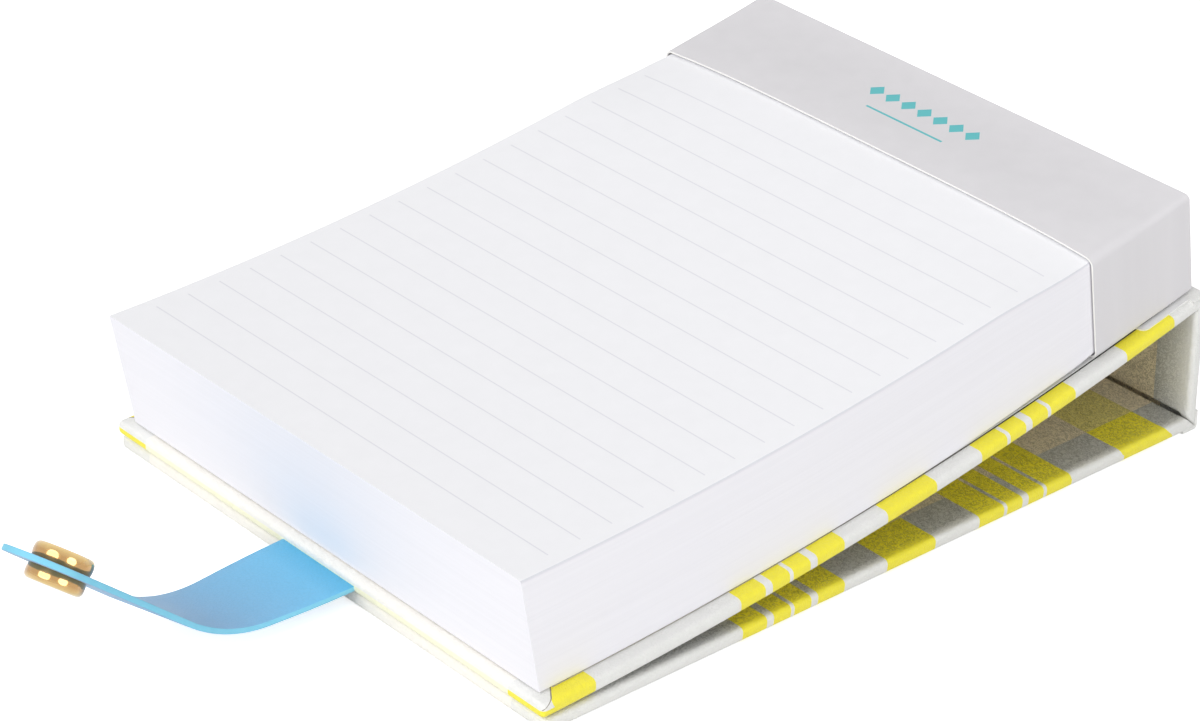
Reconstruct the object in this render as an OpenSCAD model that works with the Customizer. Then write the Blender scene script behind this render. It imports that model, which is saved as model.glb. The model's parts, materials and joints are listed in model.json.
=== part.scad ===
// Desk notepad in a hardback case, stood up as a wedge.
// The front cover is folded right round under the back cover, the spine stands at the head, and the
// pad lies on the back cover, which bows under it. X runs across, Y from foot to head, and the
// origin is the middle of the face that the folded front cover rests on.

/* [Pad] */
// Width of a sheet
page_w = 101.6; // [90:0.1:115]
// Length of a sheet
page_l = 152.4; // [130:0.1:175]
// Thickness of the stack of sheets
page_t = 22.4; // [18:0.1:26]
// How much thinner the stack is at its bound head
head_squeeze = 2.1; // [0:0.1:3]

/* [Head band] */
// Depth of the card band along the pad
band_l = 25; // [15:0.5:40]
// Thickness of the band's card
band_t = 0.3; // [0.25:0.05:0.8]
// Radius of the band's long folds, inside
band_r = 1; // [0.8:0.1:2.5]
// How far the pad's top drops to its sides at the band's front edge
band_drop = 1.4; // [0:0.1:2]
// How far the bound head of the pad rises off the back cover
head_lift = 0.6; // [0:0.1:0.8]

/* [Case] */
// Margin of the covers past the pad at each side
side_square = 2.8; // [2:0.1:5]
// Margin of the covers past the pad at the foot
foot_square = 2.4; // [1.5:0.1:5]
// Thickness of the grey board
board_t = 2; // [1.6:0.1:2.4]
// Thickness of the covering
covering_t = 0.3; // [0.2:0.05:0.4]
// Thickness of the lining paper
lining_t = 0.2; // [0.1:0.05:0.3]
// Width of the covering turned in over a board's inner face
turn_in = 12; // [8:0.5:16]
// Margin between the lining and the edges of the covers
lining_margin = 2.5; // [1.5:0.1:4]
// Radius of the covered edges
edge_r = 0.9; // [0.4:0.1:1.2]
// Distance from a board's end to the line on which its joint folds
joint_gap = 2.6; // [2.6:0.1:3.4]
// Depth of the fold lines below the lining's face
fold_depth = 0.7; // [0.6:0.05:0.9]
// Gap between the pad's head and the spine when the case is closed
head_room = 0.4; // [0.3:0.1:1]
// Room left over the pad when the case is closed
closing_room = 3.4; // [2:0.1:4]
// Depth of the back cover's bow
bow_sag = 4; // [2:0.1:4.4]
// How far the folded front cover sits back from the back cover's foot
set_back = 0.8; // [0:0.1:4]
// Gap between the covers at the foot
foot_gap = 0.4; // [0.3:0.1:1]

/* [Strap] */
// Width of the strap where it leaves the case
strap_w = 18; // [16:0.5:24]
// Width of the strap at its round tip
strap_tip_w = 15; // [12:0.5:16]
// Thickness of the strap
strap_t = 1; // [0.7:0.1:1.3]
// Length of strap let in between the back board and its covering
strap_tongue = 16; // [10:1:25]
// Straight length from the case to the curl
strap_run = 17; // [14:1:26]
// Radius of the curl, to the middle of the strap
strap_curl_r = 25; // [18:1:32]
// Angle that the curl turns through
strap_curl = 41; // [30:1:50]
// Angle that the strap twists through up to the end of its curl
strap_twist = 11; // [0:1:20]
// Length from the end of the curl to the snap's axis
snap_reach = 21.5; // [16:0.5:26]
// Length from the snap's axis to the tip
strap_tip = 12; // [9:0.5:16]

/* [Snap] */
// Diameter of the socket on the strap's upper face
socket_d = 9.7; // [9:0.1:11.5]
// Height of the socket
socket_h = 2.6; // [2.2:0.1:3.4]
// Diameter of the cap on the strap's lower face
cap_d = 9.5; // [9:0.1:11.5]
// Height of the cap
cap_h = 2.4; // [1.8:0.1:3]
// Radius of the rolled rims
rim_r = 1.3; // [0.4:0.1:1.5]
// Diameter of the post that rivets cap and socket together
post_d = 3.2; // [2.4:0.1:3.4]
// Diameter of the stud's head on the front cover
stud_d = 4; // [3.6:0.1:4.4]
// Height of the stud over the front cover
stud_h = 1.7; // [1.4:0.1:1.9]
// Diameter of the stud's flange
stud_flange_d = 9; // [7:0.1:10]

/* [Hidden] */

// Slack between papers and boards that lie against each other
paper_fit = 0.05;
// Slack round the rivets of the snap
rivet_fit = 0.1;
// How much tighter the covering is drawn over the ends of a board than over its sides
end_draw = 0.1;
// Slack of the joints' rolls under the lining, and of the covering and the lining before the joints
roll_fit = 0.1;
fold_fit = 0.2;
// Overshoot of a cut past the face that it opens
over = 1;
// Facets of a full turn, for the shallow bow and for small round parts
bow_fn = 720;
round_fn = 64;
// Steps of a rounded corner, of the strap's curl and of its tip, of the pad's top across, and of the pad
// along the band and beyond it
arc_n = 4;
bend_n = 18;
tip_n = 8;
top_n = 16;
band_n = 6;
pad_n = 18;

// Thickness of a covered board without and with its lining
shell_t = 2 * covering_t + board_t;
cover_t = shell_t + lining_t;
cover_w = page_w + 2 * side_square;
end_r = edge_r - end_draw;
// The pad reaches over the joint, up to the closed spine
head_overhang = joint_gap - fold_depth - head_room;
cover_l = page_l + foot_square - head_overhang;
// Radius of the shallow bow, from its depth
bow_r = cover_l ^ 2 / (8 * bow_sag);

// The front cover lies flat, the covers meet at the foot and the spine is as tall as the closed pad
// needs. The three close a triangle, which sets the slope of the back cover and the lean of the spine.
axis_h = cover_t - fold_depth;
spine_span = page_t + closing_room + 2 * fold_depth;
spine_l = spine_span - 2 * joint_gap;
low_axis = [cover_l / 2 + joint_gap, fold_depth];
back_foot = [-cover_l / 2 - set_back, cover_t + foot_gap];
bow_a = degrees(cover_l / bow_r);
back_axis = lane(cover_l, axis_h, bow_r) + joint_gap * [cos(bow_a), sin(bow_a)];
back_reach = norm(back_axis);
base = low_axis - back_foot;
base_l = norm(base);
apex_a = acos((base_l ^ 2 + back_reach ^ 2 - spine_span ^ 2) / (2 * base_l * back_reach));
reach_a = atan2(base.y, base.x) + apex_a;
foot_slope = reach_a - atan2(back_axis.y, back_axis.x);
top_axis = back_foot + back_reach * [cos(reach_a), sin(reach_a)];
spine_lean = atan2(low_axis.x - top_axis.x, top_axis.y - low_axis.y);

// The covering and the lining reach past the board ends to the joints, which are rolls of covering
strip_l = joint_gap - fold_depth - fold_fit;
joint_r = fold_depth - roll_fit;
// The strap's own level inside the back cover, and its length from the case to the snap
strap_mid = covering_t + strap_t / 2;
strap_curl_l = strap_curl_r * strap_curl * PI / 180;
strap_length = strap_run + strap_curl_l + snap_reach;
tip_at = strap_length + strap_tip - strap_tip_w / 2;
// The strap goes round the closed foot, so the stud lies where the rest of its length ends
stud_from_foot = strap_length - page_t - 2 * cover_t;
socket_base = socket_h / 4;
socket_bore_d = stud_d + 4 * rivet_fit;
clinch_t = 0.3;
stud_flange_t = 0.5;

function degrees(a) = a * 180 / PI;
function ramp(t) = let (u = min(max(t, 0), 1)) u * u * (3 - 2 * u);

// Point at length s and height h over the outer face of a cover that bows with radius bow
function lane(s, h, bow) =
    bow == 0 ? [s, h] : [(bow - h) * sin(degrees(s / bow)), bow - (bow - h) * cos(degrees(s / bow))];

// Quarter arc of radius r about a centre, from angle a
function quarter(c, r, a) =
    [for (i = [0 : arc_n]) let (b = a + 90 * i / arc_n) c + r * [cos(b), sin(b)]];

// Outline of a rectangle with rounded corners, from x0 to x1 and y0 to y1
function rounded(x0, x1, y0, y1, r) = concat(
    quarter([x1 - r, y0 + r], r, -90),
    quarter([x1 - r, y1 - r], r, 0),
    quarter([x0 + r, y1 - r], r, 90),
    quarter([x0 + r, y0 + r], r, 180));

// The pad, in distance d from its head, x across and height h over the back cover's outer face
function pad_low(d) =
    cover_t + paper_fit + (head_lift + band_t + paper_fit) * (1 - ramp((d - band_l) / (2 * band_l)));
function shoulder(d) = d < band_l ? ramp(d / band_l) : 1 - ramp((d - band_l) / band_l);
function pad_top(x, d) =
    cover_t + page_t - head_squeeze * (1 - ramp(d / band_l))
    - band_drop * shoulder(d) * (2 * abs(x) / page_w) ^ 4;
function pad_corner(d) = edge_r / 4 + (band_r - edge_r / 4) * (1 - ramp((d - band_l) / (4 * band_r)));
pad_stations = concat(
    [for (i = [0 : band_n]) band_l * i / band_n],
    [for (i = [1 : pad_n]) band_l + (page_l - band_l) * (i / pad_n) ^ 2]);
band_stations = [for (i = [0 : band_n]) pad_stations[i]];

// Section of the pad at distance d from its head, grown by off all round
function pad_section(d, off) =
    let (r = pad_corner(d) + off, x = page_w / 2 - pad_corner(d), low = pad_low(d) - off + r)
    concat(
        quarter([x, low], r, -90),
        quarter([x, pad_top(x, d) + off - r], r, 0),
        [for (i = [1 : top_n - 1]) let (u = x - 2 * x * i / top_n) [u, pad_top(u, d) + off]],
        quarter([-x, pad_top(-x, d) + off - r], r, 90),
        quarter([-x, low], r, 180));
section_n = 4 * (arc_n + 1) + top_n - 1;

// Every sheet has the same length from the head, so the bow fans the sheets out at the foot
function pad_point(x, d, h) =
    let (a = degrees((cover_l + head_overhang) / bow_r - d / (bow_r - h)))
    [x, (bow_r - h) * sin(a), bow_r - (bow_r - h) * cos(a)];
function pad_rings(stations, off) = [for (d = stations) for (p = pad_section(d, off)) pad_point(p.x, d, p.y)];

// Faces of a skin over rings of n points, its first point at index at, turned inwards if flip is set
function skin(rings, n, at, flip) = [
    for (k = [0 : rings - 2]) for (i = [0 : n - 1])
        let (a = at + k * n + i, b = at + k * n + (i + 1) % n)
        for (f = [[a, b, b + n], [a, b + n, a + n]]) flip ? [f[2], f[1], f[0]] : f];

// Sweeps a section, given across and up from the outer face, along a cover from s0 to s1
module along(s0, s1, bow) {
    if (bow == 0)
        translate([0, s1, 0]) rotate([90, 0, 0]) linear_extrude(s1 - s0) children();
    else
        translate([0, 0, bow]) rotate([0, 90, 0]) rotate([0, 0, degrees(s0 / bow)])
            rotate_extrude(angle = degrees((s1 - s0) / bow), $fn = bow_fn)
                translate([bow, 0]) rotate(90) children();
}

// Rectangular section between two heights, inset from the sides of the cover
module band_section(inset, h0, h1)
    translate([inset - cover_w / 2, h0]) square([cover_w - 2 * inset, h1 - h0]);

// Places children at length s along a cover's outer face
module at_length(s, bow)
    translate([0, bow == 0 ? s : 0, bow]) rotate([bow == 0 ? 0 : degrees(s / bow), 0, 0])
        translate([0, 0, -bow]) children();

// What rounding takes off the outer edge of a cover's end
module edge_waste() {
    arc = quarter([end_r, end_r], end_r, 180);
    first = arc[0] + (arc[0] - arc[1]);
    last = arc[arc_n] + (arc[arc_n] - arc[arc_n - 1]);
    rotate([90, 0, 90]) linear_extrude(cover_w + 2 * over, center = true)
        polygon(concat([[-over, -over], first], [for (i = [1 : arc_n - 1]) arc[i]], [last]));
}

// Covering drawn over a board's outer face and round its edges, and on into a joint at its head.
// The foot of a cover has a turn-in, and the other end of the spine a second joint.
module cover_shell(l, bow, foot) {
    difference() {
        along(0, l, bow) polygon(rounded(-cover_w / 2, cover_w / 2, 0, shell_t, edge_r));
        along(covering_t, l - covering_t, bow) band_section(covering_t, covering_t, covering_t + board_t);
        along(foot ? turn_in : covering_t, l - covering_t, bow)
            band_section(turn_in, covering_t + board_t / 2, shell_t + over);
        edge_waste();
        if (foot) translate([0, 0, shell_t]) mirror([0, 0, 1]) edge_waste();
        at_length(l, bow) mirror([0, 1, 0]) edge_waste();
    }
    along(l - covering_t / 2, l + strip_l, bow) strip_section();
    if (!foot) along(-strip_l, covering_t / 2, bow) strip_section();
}

// Section of the covering where it runs on into a joint, just under the lining
module strip_section() band_section(edge_r, shell_t - covering_t - paper_fit, shell_t - paper_fit);

module cover_board(l, bow)
    along(covering_t, l - covering_t, bow) band_section(covering_t, covering_t, covering_t + board_t);

// Lining pasted over the turn-ins and into the joints, with the filler that levels the face it lies on
module cover_lining(l, bow, foot) {
    along(foot ? turn_in : covering_t, l - covering_t, bow)
        band_section(turn_in, covering_t + board_t, shell_t + lining_t / 2);
    along(foot ? lining_margin : -strip_l, l + strip_l, bow) band_section(lining_margin, shell_t, cover_t);
}

module on_back() translate([0, back_foot.x, back_foot.y]) rotate([foot_slope, 0, 0]) children();
module on_front() translate([0, -cover_l / 2, cover_t]) rotate([0, 180, 0]) children();
module on_spine()
    translate([0, low_axis.x, low_axis.y]) rotate([spine_lean, 0, 0]) rotate([90, 0, 180])
        translate([0, joint_gap, -axis_h]) children();
module at_curl_end()
    on_back() translate([0, -strap_run - strap_curl_r * sin(strap_curl),
                         strap_mid + strap_curl_r * (1 - cos(strap_curl))])
        rotate([-strap_curl, 0, 0]) rotate([0, -strap_twist, 0]) children();
module at_snap() at_curl_end() translate([0, -snap_reach, 0]) children();
module at_stud() on_front() translate([0, stud_from_foot, 0]) rotate([180, 0, 0]) children();

module page_block() color("white") on_back() {
    last = len(pad_stations) - 1;
    rings = pad_rings(pad_stations, 0);
    head_mid = pad_point(0, 0, (pad_low(0) + pad_top(0, 0)) / 2);
    foot_mid = pad_point(0, page_l, (pad_low(page_l) + pad_top(0, page_l)) / 2);
    mid = len(rings);
    polyhedron(
        points = concat(rings, [head_mid, foot_mid]),
        faces = concat(
            skin(last + 1, section_n, 0, false),
            [for (i = [0 : section_n - 1]) [mid, (i + 1) % section_n, i]],
            [for (i = [0 : section_n - 1])
                [mid + 1, last * section_n + i, last * section_n + (i + 1) % section_n]]));
}

module head_band() color("gainsboro") on_back() {
    outer = pad_rings(band_stations, paper_fit + band_t);
    inner = pad_rings(band_stations, paper_fit);
    at = len(outer);
    last = band_n * section_n;
    polyhedron(
        points = concat(outer, inner),
        faces = concat(
            skin(band_n + 1, section_n, 0, false),
            skin(band_n + 1, section_n, at, true),
            [for (i = [0 : section_n - 1]) let (j = (i + 1) % section_n)
                for (f = [[i, at + i, at + j], [i, at + j, j]]) f],
            [for (i = [0 : section_n - 1]) let (a = last + i, b = last + (i + 1) % section_n)
                for (f = [[a, b, at + b], [a, at + b, at + a]]) f]));
}

module back_board() color("tan") on_back() difference() {
    cover_board(cover_l, bow_r);
    along(0, strap_tongue + paper_fit, bow_r)
        translate([-strap_w / 2 - paper_fit, 0])
            square([strap_w + 2 * paper_fit, covering_t + strap_t + paper_fit]);
}

module back_covering() color("khaki") on_back() difference() {
    cover_shell(cover_l, bow_r, true);
    translate([-strap_w / 2 - paper_fit, -over, covering_t - paper_fit])
        cube([strap_w + 2 * paper_fit, over + 2 * covering_t, strap_t + 2 * paper_fit]);
}

module back_lining() color("white") on_back() cover_lining(cover_l, bow_r, true);

module back_joint() color("khaki") translate([0, top_axis.x, top_axis.y])
    rotate([0, 90, 0]) cylinder(r = joint_r, h = cover_w, center = true, $fn = round_fn);

// Middle of the strap at length l from the case's edge: lengths below 0 lie in the bow of the back cover
function strap_lane(l) =
    l < 0 ? lane(-l, strap_mid, bow_r)
    : l < strap_run ? [-l, strap_mid]
    : let (a = strap_turn(l), straight = l - strap_run - a * PI / 180 * strap_curl_r)
      [-strap_run, strap_mid + strap_curl_r] - strap_curl_r * [sin(a), cos(a)] + straight * [-cos(a), sin(a)];
// Angle of the strap's normal from upright, negative in the bow, and its twist
function strap_turn(l) =
    l < 0 ? degrees(l / bow_r) : min(max(degrees((l - strap_run) / strap_curl_r), 0), strap_curl);
function strap_roll(l) = strap_twist * ramp(l / (strap_run + strap_curl_l));
// Half width of the strap: even up to the curl's end, then tapered to the round tip
function strap_half(l) =
    let (taper = ramp((l - strap_run - strap_curl_l) / (tip_at - strap_run - strap_curl_l)))
    l < tip_at ? (strap_w + (strap_tip_w - strap_w) * taper) / 2
    : sqrt((strap_tip_w / 2) ^ 2 - (l - tip_at) ^ 2);
// Point across and off from the middle of the strap at length l
function strap_point(l, across, off) =
    let (a = strap_turn(l), b = strap_roll(l), up = across * sin(b) + off * cos(b), m = strap_lane(l))
    [across * cos(b) - off * sin(b), m.x + up * sin(a), m.y + up * cos(a)];
function strap_ring(l) =
    [for (c = [[1, 1], [-1, 1], [-1, -1], [1, -1]]) strap_point(l, c.x * strap_half(l), c.y * strap_t / 2)];
strap_stations = concat(
    [for (i = [0 : arc_n - 1]) strap_tongue * (i / arc_n - 1)],
    [for (i = [0 : arc_n - 1]) strap_run * i / arc_n],
    [for (i = [0 : bend_n]) strap_run + strap_curl_l * i / bend_n],
    [for (i = [1 : arc_n - 1]) strap_run + strap_curl_l + (tip_at - strap_run - strap_curl_l) * i / arc_n],
    [for (i = [0 : tip_n - 1]) tip_at + strap_tip_w / 2 * sin(90 * i / tip_n)]);

// Leatherette strap: a tongue in the back cover, a straight run, a curl with a twist and a tapered round tip
module strap() color("skyblue") difference() {
    n = len(strap_stations);
    last = 4 * (n - 1);
    on_back() polyhedron(
        points = [for (l = strap_stations) for (p = strap_ring(l)) p],
        faces = concat(skin(n, 4, 0, true),
                       [[0, 1, 2, 3], [last + 3, last + 2, last + 1, last]]));
    at_snap() cylinder(d = post_d + 2 * rivet_fit, h = strap_t + 2 * over, center = true, $fn = round_fn);
}

// Socket half of the snap: a drum with a rolled rim, bored for the stud over the riveted base
module snap_socket() color("goldenrod") at_snap() translate([0, 0, strap_t / 2]) difference() {
    rotate_extrude($fn = round_fn)
        polygon(concat([[0, 0], [socket_d / 2, 0]],
                       quarter([socket_d / 2 - rim_r, socket_h - rim_r], rim_r, 0), [[0, socket_h]]));
    translate([0, 0, -over]) cylinder(d = post_d + 2 * rivet_fit, h = socket_h + 2 * over, $fn = round_fn);
    translate([0, 0, socket_base]) cylinder(d = socket_bore_d, h = socket_h, $fn = round_fn);
}

// Cap half: a rounded button whose post goes through strap and socket and is clinched in the bore
module snap_cap() color("goldenrod") at_snap() {
    clinch_at = strap_t / 2 + socket_base;
    translate([0, 0, -strap_t / 2 - cap_h]) rotate_extrude($fn = round_fn)
        polygon(concat([[0, 0]], quarter([cap_d / 2 - rim_r, rim_r], rim_r, -90),
                       [[cap_d / 2, cap_h], [0, cap_h]]));
    translate([0, 0, -strap_t / 2]) cylinder(d = post_d, h = strap_t + socket_base, $fn = round_fn);
    translate([0, 0, clinch_at]) cylinder(d = stud_d, h = clinch_t, $fn = round_fn);
}

module spine_board() color("tan") on_spine() cover_board(spine_l, 0);

module spine_covering() color("khaki") on_spine() cover_shell(spine_l, 0, false);

module spine_lining() color("white") on_spine() cover_lining(spine_l, 0, false);

module front_joint() color("khaki") translate([0, low_axis.x, low_axis.y])
    rotate([0, 90, 0]) cylinder(r = joint_r, h = cover_w, center = true, $fn = round_fn);

// Hole through the front cover for the stud's rivet
module stud_hole() at_stud() translate([0, 0, -shell_t])
    cylinder(d = post_d + 2 * rivet_fit, h = shell_t + over, $fn = round_fn);

module front_board() color("tan") difference() {
    on_front() cover_board(cover_l, 0);
    stud_hole();
}

module front_covering() color("khaki") difference() {
    on_front() cover_shell(cover_l, 0, true);
    stud_hole();
}

module front_lining() color("white") on_front() cover_lining(cover_l, 0, true);

// Stud half of the snap: a flange on the cover, a waisted head and a rivet down to the lining
module snap_stud() color("goldenrod") at_stud() {
    waist = stud_d / 2 - 2 * rivet_fit;
    rotate_extrude($fn = round_fn)
        polygon([[0, 0], [stud_flange_d / 2, 0], [stud_flange_d / 2 - stud_flange_t / 2, stud_flange_t],
                 [waist, stud_flange_t], [waist, (stud_h + stud_flange_t) / 2],
                 [stud_d / 2, stud_h - 2 * rivet_fit], [waist, stud_h], [0, stud_h]]);
    translate([0, 0, -covering_t - board_t])
        cylinder(d = post_d, h = covering_t + board_t, $fn = round_fn);
}

page_block();
head_band();
back_board();
back_covering();
back_lining();
back_joint();
strap();
snap_socket();
snap_cap();
spine_board();
spine_covering();
spine_lining();
front_joint();
front_board();
front_covering();
front_lining();
snap_stud();
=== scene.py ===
"""Dresses the notepad: a thick pad of ruled sheets in a hardback case that is folded into a wedge."""
import json
import math
import bmesh
import bpy
from mathutils import Matrix, Vector, noise


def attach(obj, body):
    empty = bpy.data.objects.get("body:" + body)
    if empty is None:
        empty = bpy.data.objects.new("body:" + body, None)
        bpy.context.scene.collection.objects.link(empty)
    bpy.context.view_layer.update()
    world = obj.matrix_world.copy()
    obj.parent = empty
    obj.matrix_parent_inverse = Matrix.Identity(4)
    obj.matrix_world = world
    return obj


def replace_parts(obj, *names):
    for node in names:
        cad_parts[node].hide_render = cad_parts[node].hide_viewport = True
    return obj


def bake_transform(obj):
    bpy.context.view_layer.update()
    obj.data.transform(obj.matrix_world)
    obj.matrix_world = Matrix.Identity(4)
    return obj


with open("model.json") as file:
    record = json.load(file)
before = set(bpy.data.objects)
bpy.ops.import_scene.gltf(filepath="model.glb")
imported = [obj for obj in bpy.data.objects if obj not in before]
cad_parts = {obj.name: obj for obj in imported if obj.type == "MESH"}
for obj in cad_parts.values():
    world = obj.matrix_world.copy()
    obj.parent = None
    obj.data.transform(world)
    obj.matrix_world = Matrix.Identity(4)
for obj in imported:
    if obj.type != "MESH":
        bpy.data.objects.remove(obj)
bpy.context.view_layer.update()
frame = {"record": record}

MM = 0.001
QUARTER = math.pi / 2

# Sizes in millimetres and angles, as in the part's source
PAGE_W, PAGE_L, PAGE_T = 101.6, 152.4, 22.4
HEAD_SQUEEZE, HEAD_LIFT = 2.1, 0.6
BAND_L, BAND_T, BAND_R, BAND_DROP = 25.0, 0.3, 1.0, 1.4
BOARD_W, LINING_W, SHELL_T, LINING_T = 107.2, 102.2, 2.6, 0.2
COVER_T = SHELL_T + LINING_T
LINING_MARGIN, EDGE_R = 2.5, 0.9
JOINT_GAP, FOLD_DEPTH = 2.6, 0.7
HEAD_ROOM, PAPER_FIT = 0.4, 0.05
BOW_SAG, SET_BACK, FOOT_GAP = 4.0, 0.8, 0.4
STRAP_W, STRAP_TIP_W, STRAP_T, STRAP_TONGUE = 18.0, 15.0, 1.0, 16.0
STRAP_RUN, STRAP_CURL_R = 17.0, 25.0
STRAP_CURL, STRAP_TWIST = math.radians(41), math.radians(11)
SNAP_REACH, STRAP_TIP, STRAP_MID = 21.5, 12.0, 0.8
SOCKET_D, SOCKET_H, CAP_D, CAP_H, RIM_R = 9.7, 2.6, 9.5, 2.4, 1.3
STUD_D, STUD_H, STUD_FLANGE_D, STUD_FLANGE_T = 4.0, 1.7, 9.0, 0.5

# The fold lines of the case, as (y, z), come from the frame's own hinges
hinges = {j["name"]: j["pos_m"] for j in frame["record"]["behaviour"]["joints"]}
TOP_AXIS = Vector(hinges["spine_hinge"][1:]) / MM
LOW_AXIS = Vector(hinges["cover_hinge"][1:]) / MM
COVER_L = 2 * (LOW_AXIS.x - JOINT_GAP)
BOW_R = COVER_L ** 2 / (8 * BOW_SAG)
SPINE_L = (TOP_AXIS - LOW_AXIS).length - 2 * JOINT_GAP
AXIS_H = COVER_T - FOLD_DEPTH
HEAD_OVERHANG = JOINT_GAP - FOLD_DEPTH - HEAD_ROOM
BACK_FOOT = Vector((-COVER_L / 2 - SET_BACK, COVER_T + FOOT_GAP))
SPINE_LEAN = math.atan2(LOW_AXIS.x - TOP_AXIS.x, TOP_AXIS.y - LOW_AXIS.y)
STRAP_CURL_L = STRAP_CURL_R * STRAP_CURL
STRAP_LENGTH = STRAP_RUN + STRAP_CURL_L + SNAP_REACH
STUD_FROM_FOOT = STRAP_LENGTH - PAGE_T - 2 * COVER_T

# Sizes in millimetres that only this script has

# The length of covering that bends at a fold, and how far its strip goes on past the joint on each side
FOLD_L, FOLD_TUCK = 1.2, 0.5
# The covering turned in at a joint's sides: its width, how it eases in, and the slope where boards meet
LUG_W, LUG_EASE = 1.6, 0.8
LUG_MITRE = math.tan(math.radians(98 / 2))
# Where the back lining comes out from under the pad, how it rounds out there, and how far it then shows
STRIP_AT, STRIP_R, STRIP_OUT = 141.0, 1.5, 1.5
# The strap's tip is trimmed by this much to end where the photograph shows it
TIP_TRIM = 2.3
# Distances from the pad's edges at which its faces are cut, so that the edges can be rounded
EDGE_CUTS = [0.1, 0.3, 0.6, 1.0, 1.4, 1.8]
# Points that are closer than this are at the same place
NEAR = 1e-6

# The axes of a flat piece
ACROSS, ALONG, UP = 0, 1, 2


def clamp(t, low=0.0, high=1.0):
    """A value held between two limits."""
    return min(max(t, low), high)


def ramp(t):
    """Smooth step from 0 to 1."""
    t = clamp(t)
    return t * t * (3 - 2 * t)


def aim(angle):
    """Unit (y, z) vector at an angle above the +Y axis."""
    return Vector((math.cos(angle), math.sin(angle)))


def turned(p, angle):
    """A (y, z) point turned about the X axis."""
    return Matrix.Rotation(angle, 2) @ p


def bowed(s, h):
    """(y, z) at length s and height h over the outer face of the back cover, before it is sloped."""
    r = BOW_R - h
    return Vector((r * math.sin(s / BOW_R), BOW_R - r * math.cos(s / BOW_R)))


head_end = bowed(COVER_L, AXIS_H) + JOINT_GAP * aim(COVER_L / BOW_R)
rise = TOP_AXIS - BACK_FOOT
FOOT_SLOPE = math.atan2(rise.y, rise.x) - math.atan2(head_end.y, head_end.x)
HEAD_SLOPE = FOOT_SLOPE + COVER_L / BOW_R


# Where a point of a flat piece goes: x across, s along from the foot and h over the outer face


def on_back(x, s, h):
    """Bends a flat piece along the bow of the back cover."""
    y, z = turned(bowed(s, h), FOOT_SLOPE) + BACK_FOOT
    return Vector((x, y, z))


def on_front(x, s, h):
    """Lays a flat piece on the front cover, which lies with its lining down."""
    return Vector((-x, s - COVER_L / 2, COVER_T - h))


def on_spine(x, s, h):
    """Stands a flat piece up as part of the spine."""
    y, z = turned(Vector((h - AXIS_H, s + JOINT_GAP)), SPINE_LEAN) + LOW_AXIS
    return Vector((-x, y, z))


def on_strap(x, length, h):
    """Bends a flat strap: in the back cover below 0, then straight, then curled up with a twist."""
    turn = length / BOW_R if length < 0 else clamp((length - STRAP_RUN) / STRAP_CURL_R, 0, STRAP_CURL)
    roll = STRAP_TWIST * ramp(length / (STRAP_RUN + STRAP_CURL_L))
    normal = Vector((math.sin(turn), math.cos(turn)))
    if length < 0:
        p = bowed(-length, STRAP_MID)
    elif length < STRAP_RUN:
        p = Vector((-length, STRAP_MID))
    else:
        p = Vector((-STRAP_RUN, STRAP_MID + STRAP_CURL_R)) - STRAP_CURL_R * normal
        p += (length - STRAP_RUN - turn * STRAP_CURL_R) * Vector((-normal.y, normal.x))
    p += (x * math.sin(roll) + h * math.cos(roll)) * normal
    y, z = turned(p, FOOT_SLOPE) + BACK_FOOT
    return Vector((x * math.cos(roll) - h * math.sin(roll), y, z))


def round_fold(axis, start, end):
    """How a strip of covering turns round a fold line, from one board's normal to the next one's."""
    def spot(x, u, r):
        a = start + (end - start) * clamp(u / FOLD_L)
        straight = u - clamp(u, 0, FOLD_L)
        y, z = axis + r * aim(a) + straight * aim(a - QUARTER)
        return Vector((x, y, z))
    return spot


# The pad, in distance d from its head and height h


def pad_low(d):
    """Height of the pad's lowest sheet, which rises a little towards the bound head."""
    lift = HEAD_LIFT + BAND_T + PAPER_FIT
    return COVER_T + PAPER_FIT + lift * (1 - ramp((d - BAND_L) / (2 * BAND_L)))


def pad_top(x, d):
    """Height of the top sheet: pressed thinner at the head, and crowned across at the band's front edge."""
    pressed = HEAD_SQUEEZE * (1 - ramp(d / BAND_L))
    shoulder = ramp(d / BAND_L) if d < BAND_L else 1 - ramp((d - BAND_L) / BAND_L)
    return COVER_T + PAGE_T - pressed - BAND_DROP * shoulder * abs(2 * x / PAGE_W) ** 4


def pad_corner(d):
    """Radius of the pad's long edges: nearly square beyond the band, rounder in it, sharper at the head."""
    square = EDGE_R / 4
    pressed = BAND_R * (0.3 + 0.5 * ramp(d / BAND_L))
    return square + (pressed - square) * (1 - ramp((d - BAND_L) / (4 * BAND_R)))


def on_pad(x, d, h):
    """Bends the pad along the back cover. All sheets have the same length, so they fan out at the foot."""
    r = BOW_R - h
    a = (COVER_L + HEAD_OVERHANG) / BOW_R - d / r
    y, z = turned(Vector((r * math.sin(a), BOW_R - r * math.cos(a))), FOOT_SLOPE) + BACK_FOOT
    return Vector((x, y, z))


def pad_section(x, d, t, off):
    """Rounds the corners of a square section of the pad, t up from 0 to 1, grown by off all round."""
    half, r = PAGE_W / 2 + off, pad_corner(d) + off
    low, top = pad_low(d) - off, pad_top(x, d) + off
    square = Vector((x * half / (PAGE_W / 2), low + (top - low) * t))
    core = Vector((clamp(square.x, r - half, half - r), clamp(square.y, low + r, top - r)))
    away = square - core
    if away.length > NEAR:
        away *= max(abs(away.x), abs(away.y)) / away.length
    return core + away


# Flat pieces, which are modelled straight and bent into place


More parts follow.
